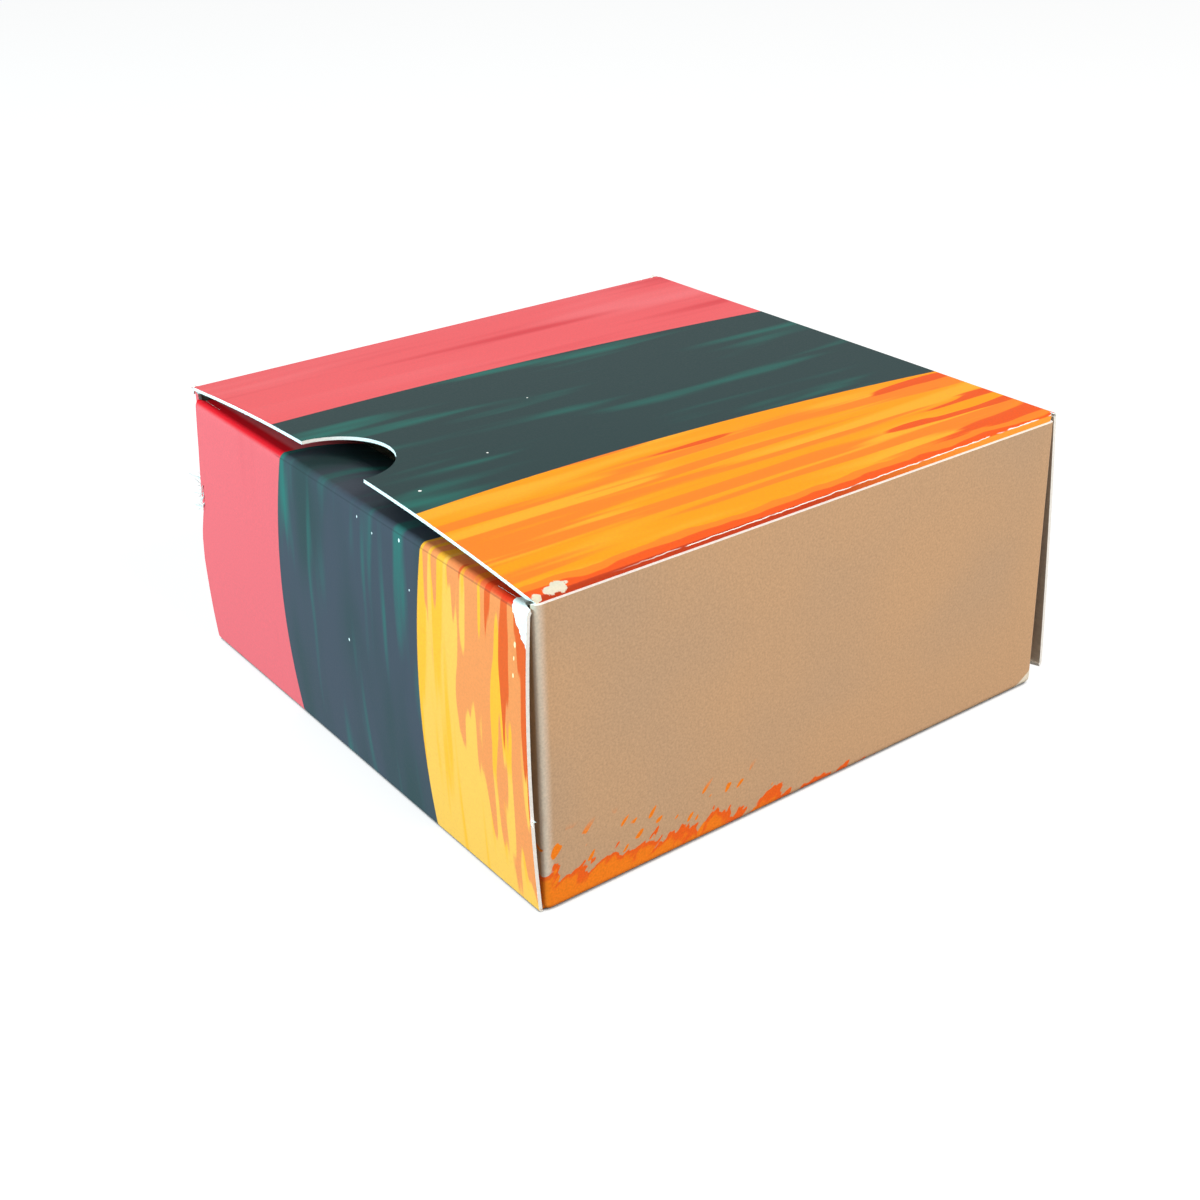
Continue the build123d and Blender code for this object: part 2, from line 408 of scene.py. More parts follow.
def finish_board(tree, colour, place, roughness, grit, mottle, depth):
    """Give a board its fine grain, in millimetres, in colour, gloss and relief."""
    fine = wire(tree, NOISE, {"Vector": place, "Scale": 1 / grit, "Detail": 2.0, "Roughness": 0.6})
    tone = wire(tree, RANGE, {0: fine, 1: GRAIN_LOW, 2: GRAIN_HIGH, 3: 1 - mottle, 4: 1 + mottle})
    toned = wire(tree, VECTOR, {0: colour, "Scale": tone}, operation="SCALE")
    dull, bright = roughness + GLOSS_SWING, roughness - GLOSS_SWING
    gloss = wire(tree, RANGE, {0: fine, 1: GRAIN_LOW, 2: GRAIN_HIGH, 3: bright, 4: dull})
    relief = wire(tree, "ShaderNodeBump", {"Height": fine, "Strength": depth, "Distance": RELIEF * MM})
    shader = wire(
        tree,
        "ShaderNodeBsdfPrincipled",
        {"Base Color": toned, "Roughness": gloss, "Normal": relief, "Specular IOR Level": SPECULAR},
    )
    wire(tree, "ShaderNodeOutputMaterial", {"Surface": shader})


def new_tree(owner):
    """The emptied node tree of a material or a world."""
    owner.use_nodes = True
    owner.node_tree.nodes.clear()
    return owner.node_tree


def seen_ray(tree):
    """One for rays that show a thing straight or by reflection, and nothing for those that only light."""
    path = wire(tree, "ShaderNodeLightPath").node.outputs
    return wire(tree, MATH, {0: path["Is Camera Ray"], 1: path["Is Glossy Ray"]}, operation="MAXIMUM")


def top_print(name, inks):
    """Offset-printed carton board with a matt varnish: soft, even gloss over painted bands of colour.

    The ink is cracked along the seam crease and scuffed off at its front corner.
    """
    tree = new_tree(bpy.data.materials.new(name))
    place, x, y, z = sheet_place(tree)
    reds = brush(tree, rgba(inks.red), inks.deep_red, place, "top deep red")
    reds = brush(tree, reds, inks.pale_red, place, "top pale red")
    darks = brush(tree, rgba(inks.dark), inks.green, place, "top green")
    oranges = brush(tree, rgba(inks.orange), inks.amber, place, "top amber")
    oranges = brush(tree, oranges, inks.deep_orange, place, "top deep orange")

    # Red strokes gather towards the rear right corner
    far = wire(tree, RANGE, {0: y, 1: 12.0, 2: 50.0, 3: 0.0, 4: 0.3})
    aside = wire(tree, RANGE, {0: x, 1: 26.0, 2: 46.0, 3: 0.3, 4: 1.0})
    far = wire(tree, MATH, {0: far, 1: aside}, **TIMES)
    oranges = brush(tree, oranges, inks.flame, place, "top flame", far)
    colour = past_edge(tree, reds, darks, x, y, TOP_DARK_EDGE)
    colour = past_edge(tree, colour, oranges, x, y, TOP_ORANGE_EDGE)

    # Deeper strips along the seam crease, whose edge sways
    sway = ripple(tree, place, (8.0, 14.0, 8.0), 21.0, 2.5)
    strip = wire(tree, MATH, {0: sway, 1: -SEAM_SWAY, 2: x}, **TIMES_PLUS)
    for start, paint in ((SEAM_DEEP_START, inks.deep_orange), (SEAM_FLAME_START, inks.flame)):
        mask = wire(tree, RANGE, {0: strip, 1: start, 2: start + 0.3}, **SMOOTH)
        colour = wire(tree, MIX, {0: mask, 6: colour, 7: rgba(paint)}, **OVER)

    # Painted shade on the round of the seam crease below the crack: a dark strip near the front that turns
    # into painted light, a lighter strip, towards the rear
    fold = wire(tree, RANGE, {0: x, 1: 48.2, 2: 48.8}, **SMOOTH)
    below = wire(tree, RANGE, {0: z, 1: 47.75, 2: 47.55}, **SMOOTH)
    below = wire(tree, MATH, {0: below, 1: fold}, **TIMES)
    rear = wire(tree, RANGE, {0: y, 1: -5.0, 2: 40.0}, **SMOOTH)
    shade = wire(tree, MIX, {0: rear, 6: rgba(inks.seam_painted_shade), 7: rgba(inks.seam_painted_light)}, **OVER)
    colour = wire(tree, MIX, {0: below, 6: colour, 7: shade}, **OVER)

    # White crack along the crease, shaky, broken and gone towards the front
    lift = wire(tree, MATH, {0: y, 1: 0.0035, 2: 47.7}, **TIMES_PLUS)
    crack = wire(tree, MATH, {0: z, 1: lift}, **LESS)
    shaky = ripple(tree, place, (1.0, 2.0, 1.0), 5.0)
    crack = wire(tree, MATH, {0: shaky, 1: 0.3, 2: crack}, **TIMES_PLUS)
    crack = wire(tree, MATH, {0: crack}, operation="ABSOLUTE")
    crack = wire(tree, RANGE, {0: crack, 1: 0.08, 2: 0.03}, **SMOOTH)
    broken = wire(tree, RANGE, {0: ripple(tree, place, (4.0, 5.0, 4.0), 9.0), 1: 0.36, 2: 0.44}, **SMOOTH)
    along = wire(tree, RANGE, {0: y, 1: -38.0, 2: -24.0}, **SMOOTH)
    for mask in (fold, broken, along):
        crack = wire(tree, MATH, {0: crack, 1: mask}, **TIMES)
    colour = wire(tree, MIX, {0: crack, 6: colour, 7: rgba(inks.raw)}, **OVER)

    colour = worn_spots(tree, colour, inks.scuff, place, TOP_SCUFF_STRETCH, TOP_SCUFFS)
    colour = worn_spots(tree, colour, inks.raw, place, TOP_SPECK_STRETCH, TOP_SPECKS)
    finish_board(tree, colour, place, *PRINT_FINISH)


def lid_print(name, inks):
    """The same varnished print on the front lid, torn off to the white board at its upper right corner."""
    tree = new_tree(bpy.data.materials.new(name))
    place, x, y, z = sheet_place(tree)
    reds = brush(tree, rgba(inks.red), inks.deep_red, place, "lid deep red")
    darks = brush(tree, rgba(inks.dark), inks.slate, place, "lid slate")
    darks = brush(tree, darks, inks.green, place, "lid green")

    # Yellow gathers towards the foot, drips towards the upper right corner
    low = wire(tree, RANGE, {0: z, 1: 46.0, 2: 0.0, 3: -0.02, 4: 0.14})
    oranges = brush(tree, rgba(inks.amber), inks.yellow, place, "lid yellow", low)
    aside = wire(tree, RANGE, {0: x, 1: 24.0, 2: 49.0, 3: -0.38, 4: -0.08})
    corner = wire(tree, MATH, {0: z, 1: 0.006, 2: aside}, **TIMES_PLUS)
    oranges = brush(tree, oranges, inks.salmon, place, "lid salmon", corner)
    oranges = brush(tree, oranges, inks.flame, place, "lid flame", corner)

    # Painted shade under the top panel's lip: deep, saturated red and red-orange along the fold, on the
    # outside only
    fold = wire(tree, RANGE, {0: z, 1: 45.3, 2: 46.1}, **SMOOTH)
    outside = wire(tree, RANGE, {0: y, 1: -47.5, 2: -48.5}, **SMOOTH)
    fold = wire(tree, MATH, {0: fold, 1: outside}, **TIMES)
    reds = wire(tree, MIX, {0: fold, 6: reds, 7: rgba(inks.lip_shade_red)}, **OVER)
    fold = wire(tree, MATH, {0: fold, 1: wire(tree, RANGE, {0: x, 1: 30.0, 2: 44.0})}, **TIMES)
    oranges = wire(tree, MIX, {0: fold, 6: oranges, 7: rgba(inks.lip_shade_flame)}, **OVER)
    colour = past_edge(tree, reds, darks, x, z, LID_DARK_EDGE)
    colour = past_edge(tree, colour, oranges, x, z, LID_ORANGE_EDGE)

    # Painted shade in the score below the fold: a faint near-black line, on the dark and orange bands only
    score_shade = wire(tree, MATH, {0: z, 1: 45.6}, **LESS)
    score_shade = wire(tree, MATH, {0: score_shade}, operation="ABSOLUTE")
    score_shade = wire(tree, RANGE, {0: score_shade, 1: 0.16, 2: 0.06, 4: 0.3}, **SMOOTH)
    right = wire(tree, RANGE, {0: x, 1: -20.5, 2: -18.0}, **SMOOTH)
    face = wire(tree, RANGE, {0: y, 1: -50.1, 2: -50.4}, **SMOOTH)
    for mask in (right, face):
        score_shade = wire(tree, MATH, {0: score_shade, 1: mask}, **TIMES)
    colour = wire(tree, MIX, {0: score_shade, 6: colour, 7: rgba(inks.score_shade)}, **OVER)

    # Torn corner, with a ragged edge that curves down and out
    drop = wire(tree, RANGE, {0: z, 1: 47.4, 2: 40.4}, clamp=False)
    drop = wire(tree, MATH, {0: drop, 1: 0.0}, operation="MAXIMUM")
    drop = wire(tree, MATH, {0: drop, 1: 1.6}, operation="POWER")
    tear = wire(tree, MATH, {0: drop, 1: -4.3, 2: x}, **TIMES_PLUS)
    ragged = ripple(tree, place, (1.3, 1.3, 1.3), 2.0, 3.0)
    tear = wire(tree, MATH, {0: ragged, 1: 1.8, 2: tear}, **TIMES_PLUS)
    tear = wire(tree, RANGE, {0: tear, 1: 46.5, 2: 46.65}, **SMOOTH)
    colour = wire(tree, MIX, {0: tear, 6: colour, 7: rgba(inks.raw)}, **OVER)
    colour = worn_spots(tree, colour, inks.fleck, place, LID_FLECK_STRETCH, LID_FLECKS)
    colour = worn_spots(tree, colour, inks.raw, place, LID_SPECK_STRETCH, LID_SPECKS)
    finish_board(tree, colour, place, *PRINT_FINISH)


def tan_print(name, inks):
    """Board under a flat tan ink: dull, with the fibre showing, and orange paint splashed along its foot."""
    tree = new_tree(bpy.data.materials.new(name))
    place, x, y, z = sheet_place(tree)
    cloud = wire(tree, RANGE, {0: ripple(tree, place, (30.0, 30.0, 30.0), 4.0), 1: 0.3, 2: 0.7}, **SMOOTH)
    colour = wire(tree, MIX, {0: cloud, 6: rgba(inks.tan), 7: rgba(inks.pale_tan)}, **OVER)

    # End creases lighter on their round, partly wear and partly painted highlight, and the worn rear foot
    rounding = wire(tree, RANGE, {0: x, 1: 48.9, 2: 49.3}, **SMOOTH)
    for start, stop, strength in ((-47.9, -49.2, 0.7), (49.0, 49.4, 0.3)):
        worn = wire(tree, RANGE, {0: y, 1: start, 2: stop, 4: strength}, **SMOOTH)
        worn = wire(tree, MATH, {0: worn, 1: rounding}, **TIMES)
        colour = wire(tree, MIX, {0: worn, 6: colour, 7: rgba(inks.worn_and_highlit_tan)}, **OVER)

    foot = wire(tree, MATH, {0: z, 1: -1.6, 2: y}, **TIMES_PLUS)
    foot = wire(tree, RANGE, {0: foot, 1: 45.0, 2: 45.3}, **SMOOTH)
    colour = wire(tree, MIX, {0: foot, 6: colour, 7: rgba(inks.worn_foot)}, **OVER)

    # Splashed paint: leaning licks that grow shorter towards the rear
    lean = wire(tree, MATH, {0: z, 1: -0.75, 2: y}, **TIMES_PLUS)
    leaning = wire(tree, "ShaderNodeCombineXYZ", {0: x, 1: lean, 2: z})
    tongues = ripple(tree, leaning, (9.0, 3.0, 4.0), 6.0, 2.5)
    reach = wire(tree, RANGE, {0: y, 1: -50.0, 2: 10.0, 3: 5.8, 4: 0.4}, clamp=False)
    swing = wire(tree, RANGE, {0: y, 1: -30.0, 2: 10.0, 3: 15.0, 4: 4.0})
    licks = wire(tree, MATH, {0: tongues, 1: 0.5}, **LESS)
    licks = wire(tree, MATH, {0: licks, 1: swing, 2: reach}, **TIMES_PLUS)
    above = wire(tree, MATH, {0: licks, 1: z}, **LESS)
    tips = wire(tree, RANGE, {0: above, 1: 2.6, 2: 0.8}, **SMOOTH)
    paint = wire(tree, MIX, {0: tips, 6: rgba(inks.splash), 7: rgba(inks.splash_tip)}, **OVER)
    wet = wire(tree, RANGE, {0: above, 1: -0.12, 2: 0.12}, **SMOOTH)
    colour = wire(tree, MIX, {0: wet, 6: colour, 7: paint}, **OVER)

    # Drops just above the licks, near the front
    drops = ripple(tree, leaning, (9.0, 1.4, 2.0), 13.0, 0.0)
    drops = wire(tree, RANGE, {0: drops, 1: 0.7, 2: 0.73}, **SMOOTH)
    height = wire(tree, MATH, {0: z, 1: reach}, **LESS)
    near_foot = wire(tree, RANGE, {0: height, 1: 7.5, 2: 4.5}, **SMOOTH)
    near_front = wire(tree, RANGE, {0: y, 1: -2.0, 2: -12.0}, **SMOOTH)
    for mask in (near_foot, near_front):
        drops = wire(tree, MATH, {0: drops, 1: mask}, **TIMES)
    colour = wire(tree, MIX, {0: drops, 6: colour, 7: rgba(inks.splash)}, **OVER)
    finish_board(tree, colour, place, *TAN_FINISH)


def bare_board(name, colour, finish):
    """Unprinted white board: chalky, with short fibres."""
    tree = new_tree(bpy.data.materials.new(name))
    place = sheet_place(tree)[0]
    fibres = ripple(tree, place, (2.5, 0.6, 0.6), 7.0, 2.0)
    fibres = wire(tree, RANGE, {0: fibres, 1: 0.4, 2: 0.7}, **SMOOTH)
    grey = [c * FIBRE_SHADE for c in colour]
    fibrous = wire(tree, MIX, {0: fibres, 6: rgba(colour), 7: rgba(grey)}, **OVER)
    finish_board(tree, fibrous, place, *finish)


def pick(sheet, kind, test):
    """Select the faces, edges or vertices of the sheet in edit mode whose middle passes a test, in mm."""
    bpy.ops.mesh.select_mode(type=kind)
    bpy.ops.mesh.select_all(action="DESELECT")
    mesh = bmesh.from_edit_mesh(sheet.data)
    parts = {"VERT": mesh.verts, "EDGE": mesh.edges, "FACE": mesh.faces}[kind]
    for part in parts:
        corners = [part] if kind == "VERT" else part.verts
        middle = sum((v.co for v in corners), Vector()) / len(corners) / MM
        if test(middle):
            part.select_set(True)
    mesh.select_flush_mode()
    bmesh.update_edit_mesh(sheet.data)


def draw_out(*millimetres):
    """Extrude what is selected by a distance."""
    shift = Vector(millimetres) * MM
    bpy.ops.mesh.extrude_region_move(TRANSFORM_OT_translate={"value": shift})


def score(axis, places):
    """Cut the whole sheet in edit mode across at several places along an axis, in mm."""
    normal = Vector((axis == "X", axis == "Y", axis == "Z"))
    for place in places:
        bpy.ops.mesh.select_all(action="SELECT")
        bpy.ops.mesh.bisect(plane_co=normal * place * MM, plane_no=normal)


def bend(sheet, move):
    """Move each vertex of the sheet in edit mode to where a rule puts it, in mm."""
    mesh = bmesh.from_edit_mesh(sheet.data)
    for vertex in mesh.verts:
        vertex.co = Vector(move(vertex.co / MM)) * MM
    bmesh.update_edit_mesh(sheet.data)


def near(value, target):
    """Whether two lengths in mm are the same."""
    return abs(value - target) < NEAR


def new_sheet(name, low, high):
    """Start a flat sheet from a plane, lying between two corners in mm, and leave it in edit mode."""
    bpy.ops.mesh.primitive_plane_add(size=MM)
    sheet = bpy.context.object
    sheet.name = name
    bpy.ops.object.mode_set(mode="EDIT")
    low, high = Vector(low), Vector(high)
    bpy.ops.transform.resize(value=(high.x - low.x, high.y - low.y, 1.0))
    bpy.ops.transform.translate(value=(low + high) / 2 * MM)
    return sheet


def apply_modifier(sheet, kind, **settings):
    """Add a modifier, set it and apply it."""
    modifier = sheet.modifiers.new(kind.title(), kind)
    for name, value in settings.items():
        setattr(modifier, name, value)
    bpy.ops.object.modifier_apply(modifier=modifier.name)


def clean_sheet():
    """Merge doubles and turn every face of the sheet in edit mode the same way."""
    bpy.ops.mesh.select_all(action="SELECT")
    bpy.ops.mesh.remove_doubles(threshold=DOUBLES * MM)
    bpy.ops.mesh.normals_make_consistent(inside=False)


def outward(sheet, test, direction):
    """Flip the sheet in edit mode if the first face that passes a test faces away from a direction."""
    mesh = bmesh.from_edit_mesh(sheet.data)
    mesh.normal_update()
    face = next(f for f in mesh.faces if test(f.calc_center_median() / MM))
    if face.normal.dot(Vector(direction)) < 0:
        bpy.ops.mesh.select_all(action="SELECT")
        bpy.ops.mesh.flip_normals()


def give_thickness(sheet, thickness):
    """Leave edit mode and thicken a sheet inwards, its back and cut edges in the next two materials."""
    bpy.ops.object.mode_set(mode="OBJECT")
    apply_modifier(
        sheet,
        "SOLIDIFY",
        thickness=thickness,
        offset=-1.0,
        use_quality_normals=True,
        material_offset=1,
        material_offset_rim=2,
    )


def take(sheet):
    """Select one sheet alone."""
    bpy.ops.object.select_all(action="DESELECT")
    sheet.select_set(True)
    bpy.context.view_layer.objects.active = sheet


def at_hinge(lid):
    """The place of a lid that was folded at the front about the origin."""
    about = Matrix.Rotation(math.pi if lid == "rear_lid" else 0.0, 4, "X")
    return Matrix.Translation(HINGES[lid]) @ about


def finish_sheet(sheet, body, slot, *nodes):
    """Smooth a sheet, set it on its body and let it stand for its solids."""
    take(sheet)
    bpy.ops.object.shade_smooth_by_angle(angle=SMOOTH_ANGLE)
    if nodes:
        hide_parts(*nodes)
    if body:
        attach(sheet, body)


def use_materials(sheet, *names):
    """Fill the sheet's material slots."""
    for name in names:
        sheet.data.materials.append(bpy.data.materials[name])


class CARTON_OT_mix_inks(bpy.types.Operator):
    """Mix the print, the tan ink and the bare board"""

    bl_idname = "carton.mix_inks"
    bl_label = "Mix inks"

    def execute(self, context):
        inks = context.scene.carton_inks
        top_print("top printed board", inks)
        lid_print("lid printed board", inks)
        tan_print("tan printed board", inks)
        bare_board(BARE[0], inks.inside, BACK_FINISH)
        bare_board(BARE[1], inks.raw, EDGE_FINISH)
        return {"FINISHED"}


class CARTON_OT_fold_carton(bpy.types.Operator):
    """Fold the carton's sheet: top, left side, bottom and seam panels with their flaps"""

    bl_idname = "carton.fold_carton"
    bl_label = "Fold carton"

    def execute(self, context):
        sizes = context.scene.carton_sizes
        board, crease, lap_gap, clearance = mm(sizes, "board", "crease", "lap_gap", "flap_clearance")
        shoulder, narrowing, flap_lean = mm(sizes, "flap_shoulder", "flap_taper", "flap_lean")
        front_bow, rear_bow, left_bow = mm(sizes, "front_bow", "rear_bow", "left_bow")
        left, front, floor = BODY_LOW / MM
        right, rear = BODY_HIGH.x / MM, BODY_HIGH.y / MM
        high = CARTON_HEIGHT / MM
        lap = right - board - lap_gap
        end = rear - sizes.hinge_gap / MM
        face = rear - sizes.flap_gap / MM
        glue_end = rear - sizes.glue_inset / MM
        seam_top = high - sizes.seam_drop / MM
        low_cut, high_cut = board + clearance, sizes.lid_height / MM - board - clearance
        rear_low, rear_high = high - high_cut, high - low_cut
        tip = right - sizes.flap / MM

        # The four panels and the glue flap, folded square
        sheet = new_sheet("carton_sheet", (left, front, high), (lap, end, high))
        pick(sheet, "EDGE", lambda p: near(p.x, left))
        draw_out(0, 0, floor - high)
        draw_out(right - left, 0, 0)
        draw_out(0, 0, seam_top - floor)
        pick(sheet, "EDGE", lambda p: near(p.x, lap))
        draw_out(0, 0, -sizes.glue / MM)
        cuts = (low_cut, rear_low, high_cut, rear_high)
        for x, count in ((left, 4), (right, 3)):
            for z in cuts[:count]:
                pick(sheet, "FACE", lambda p: near(p.x, x))
                bpy.ops.mesh.bisect(plane_co=(0, 0, z * MM), plane_no=(0, 0, 1))

        def trim(p):
            if near(p.z, floor):
                return p.x, (rear if p.y > 0 else -end), p.z
            if near(p.x, lap) and p.z < high - 2 * crease:
                return p.x, math.copysign(glue_end, p.y), p.z
            if (near(p.x, left) or near(p.x, right)) and p.z < high - NEAR:
                return p.x, math.copysign(face, p.y), p.z
            return p

        bend(sheet, trim)

        # Dust flaps, which taper to round tips
        for x in (left, right):
            inward = math.copysign(1.0, -x)
            for y, low, top in ((-face, low_cut, high_cut), (face, rear_low, rear_high)):
                pick(sheet, "EDGE", lambda p: near(p.x, x) and near(p.y, y) and low_cut < p.z < rear_high)
                draw_out(inward * (crease + NEAR), 0, 0)
                strip = x + inward * (crease + NEAR)
                pick(sheet, "EDGE", lambda p: near(p.x, strip) and near(p.y, y) and low < p.z < top)
                draw_out(inward * (shoulder - NEAR), 0, 0)
                draw_out(inward * (right - tip - crease - shoulder), 0, 0)

        def taper(p):
            if not near(abs(p.x), tip):
                return p
            low, top = (low_cut, high_cut) if p.y < 0 else (rear_low, rear_high)
            share = (p.z - low) / (top - low)
            return p.x, p.y, low + narrowing + share * (top - low - 2 * narrowing)

        bend(sheet, taper)
        corners = (low_cut + narrowing, high_cut - narrowing, rear_low + narrowing, rear_high - narrowing)
        pick(sheet, "VERT", lambda p: near(abs(p.x), tip) and any(near(p.z, c) for c in corners))
        bpy.ops.mesh.bevel(offset=sizes.flap_corner, segments=FLAP_CORNER_STEPS, affect="VERTICES")

        # Round creases
        folds = ((left, high), (left, floor), (right, floor), (lap, high))

        def along_fold(p):
            return abs(p.y) < MIDDLE and any(near(p.x, x) and near(p.z, z) for x, z in folds)

        pick(sheet, "EDGE", along_fold)
        mesh = bmesh.from_edit_mesh(sheet.data)
        for edge in mesh.edges:
            place = (edge.verts[0].co + edge.verts[1].co) / 2 / MM
            if near(abs(place.x), right) and near(abs(place.y), face) and len(edge.link_faces) == 2:
                edge.select_set(True)
        bmesh.update_edit_mesh(sheet.data)
        bpy.ops.mesh.bevel(offset=sizes.crease, segments=FOLD_STEPS, affect="EDGES", clamp_overlap=False)
        root, turn = right - crease, face - crease

        # Round corners at the carton's foot, in place of the ends of the two bottom folds
        for y in (-turn, turn):
            pick(sheet, "FACE", lambda p: abs(p.x) > root and p.z < low_cut)
            bpy.ops.mesh.bisect(plane_co=(0, y * MM, 0), plane_no=(0, 1, 0))
        pick(sheet, "FACE", lambda p: abs(p.x) > root and p.z < low_cut and abs(p.y) > turn)
        bpy.ops.mesh.delete(type="FACE")
        pick(sheet, "EDGE", lambda p: near(p.z, low_cut) and abs(p.x) > root and abs(p.y) > turn + NEAR)
        turns = [step * math.pi / 2 / FOLD_STEPS for step in range(FOLD_STEPS + 1)]
        levels = [low_cut] + [crease * (1 - math.sin(angle)) for angle in turns]
        for upper, lower in zip(levels, levels[1:]):
            draw_out(0, 0, lower - upper)

        # The bow of the top, the stand of the left side and the lean of the flaps
        score("X", PANEL_SCORES)
        score("Y", PANEL_SCORES)
        middle, half = (lap + left) / 2, (lap - left) / 2 - crease - FOLD_RETURN

        def shape(p):
            if near(abs(p.y), face) and abs(p.x) < root:
                lean = flap_lean * (root - abs(p.x)) / (root - tip)
                return p.x, p.y - math.copysign(lean, p.y), p.z
            if abs(p.x) > root and abs(p.y) > turn and p.z < crease:
                share = math.sqrt(max(0.0, 1 - (1 - p.z / crease) ** 2))
                p.x = math.copysign(root + share * (abs(p.x) - root), p.x)
                p.y = math.copysign(turn + share * (abs(p.y) - turn), p.y)
            rise = 0.0
            aside = (p.x - middle) / half
            if p.z > high - NEAR and abs(aside) < 1:
                share = (p.y - front) / (end - front)
                rise = (front_bow + (rear_bow - front_bow) * share) * (1 - aside * aside)
            stand = left_bow * max(0.0, p.x / left) * p.z / high
            return p.x - stand, p.y, p.z + rise

        bend(sheet, shape)
        clean_sheet()
        outward(sheet, lambda p: p.z > high and abs(p.x) < half / 2, (0, 0, 1))

        # The seam panel and its flaps are tan, the rest carries the bands
        use_materials(sheet, "top printed board", *BARE, "tan printed board", *BARE)
        mesh = bmesh.from_edit_mesh(sheet.data)
        for part in mesh.faces:
            place = part.calc_center_median() / MM
            on_seam = place.x > lap + lap_gap or (place.x > root and place.z < high / 2)
            on_flap = place.x > 0 and abs(part.normal.y) > FLAP_TURN
            part.material_index = 3 if on_seam or on_flap else 0
        bmesh.update_edit_mesh(sheet.data)
        give_thickness(sheet, sizes.board)

        # Thumb notches in the two free edges
        for y, z in ((front, high), (rear, floor)):
            place = (sizes.notch_offset, y * MM, z * MM)
            bpy.ops.mesh.primitive_cylinder_add(
                vertices=NOTCH_SIDES, radius=sizes.notch, depth=NOTCH_CUT * MM, location=place
            )
            cutter = context.object
            use_materials(cutter, "top printed board", *BARE)
            cutter.data.polygons.foreach_set("material_index", [2] * len(cutter.data.polygons))
            take(sheet)
            apply_modifier(sheet, "BOOLEAN", operation="DIFFERENCE", solver="EXACT", object=cutter)
            bpy.data.objects.remove(cutter)
        finish_sheet(sheet, "carton", "carton_board", "carton_body")
        return {"FINISHED"}


class CARTON_OT_fold_lids(bpy.types.Operator):
    """Fold both lids, each with a tuck tongue that curves about its hinge"""

    bl_idname = "carton.fold_lids"
    bl_label = "Fold lids"

    def execute(self, context):
        sizes = context.scene.carton_sizes
        self.fold(sizes, "front_lid", sizes.front_bulge / MM, 0.0, LID_EDGE, "lid printed board")
        self.fold(sizes, "rear_lid", sizes.rear_bulge / MM, sizes.rear_gape / MM, (), "top printed board")
        return {"FINISHED"}

    def fold(self, sizes, lid, bulge, gape, edge, printed):
        """Fold one lid at the front, then turn it about if it is the rear one."""
        crease, tall, foot, shoulder = mm(sizes, "crease", "lid_height", "hinge", "shoulder")
        slit_length, slit_width, inset = mm(sizes, "slit_length", "slit", "tongue_inset")
        half = sizes.lid_width / 2 / MM
        wing = half - inset
        neck = wing - slit_length
        lip = crease + FOLD_MARGIN
        slit = lip + slit_width
        tip = lip + sizes.tongue / MM - crease

        # Panel, fold and tongue, folded square
        sheet = new_sheet(f"{lid}_sheet", (-half, 0.0, tall), (half, lip, tall))
        score("X", (-wing, -neck, neck, wing))
        pick(sheet, "EDGE", lambda p: near(p.y, 0.0))
        draw_out(0, 0, foot - tall)
        pick(sheet, "EDGE", lambda p: near(p.y, lip) and abs(p.x) < neck)
        draw_out(0, slit - lip, 0)
        draw_out(0, tip - slit, 0)
        for side in (-1, 1):
            pick(sheet, "EDGE", lambda p: near(p.x, side * neck) and p.y > slit)
            draw_out(side * (wing - neck), 0, 0)
        pick(sheet, "VERT", lambda p: near(abs(p.x), wing) and near(p.y, tip))
        bpy.ops.mesh.bevel(offset=sizes.tongue_corner, segments=TONGUE_CORNER_STEPS, affect="VERTICES")
        pick(sheet, "EDGE", lambda p: near(p.y, 0.0) and near(p.z, tall))
        bpy.ops.mesh.bevel(offset=sizes.crease, segments=LID_FOLD_STEPS, affect="EDGES", clamp_overlap=False)
        score("X", PANEL_SCORES)
        score("Z", LID_SCORES)
        score("Y", TONGUE_SCORES)

        def curl(p):
            cut = lip - shoulder
            if abs(p.x) > wing + NEAR and p.y > cut:
                return p.x, cut, tall - crease + math.sqrt(crease**2 - (crease - cut) ** 2)
            if p.y > NEAR:
                turn = p.y / tall
                return p.x, p.y, p.z - tall * (1 - math.cos(turn))
            aside = (p.z - tall / 2) / (tall / 2)
            return p.x, p.y - bulge * (1 - aside * aside), p.z

        def trim_edge(p):
            share = max(0.0, 1 + (-p.x - half) / LID_EDGE_REACH)
            if share == 0:
                return p
            for (low, start), (high, stop) in zip(edge, edge[1:]):
                if low <= p.z <= high:
                    return p.x + share * (start + (stop - start) * (p.z - low) / (high - low)), p.y, p.z
            return p

        bend(sheet, curl)
        bend(sheet, trim_edge)
        clean_sheet()
        outward(sheet, lambda p: p.y < 0 and p.z < tall / 2, (0, -1, 0))
        use_materials(sheet, printed, *BARE)
        give_thickness(sheet, sizes.board)
        lean = Matrix.Rotation(math.atan2(gape, tall), 4, "X")
        sheet.data.transform(at_hinge(lid) @ lean)
        finish_sheet(sheet, lid, "lid_board", lid)


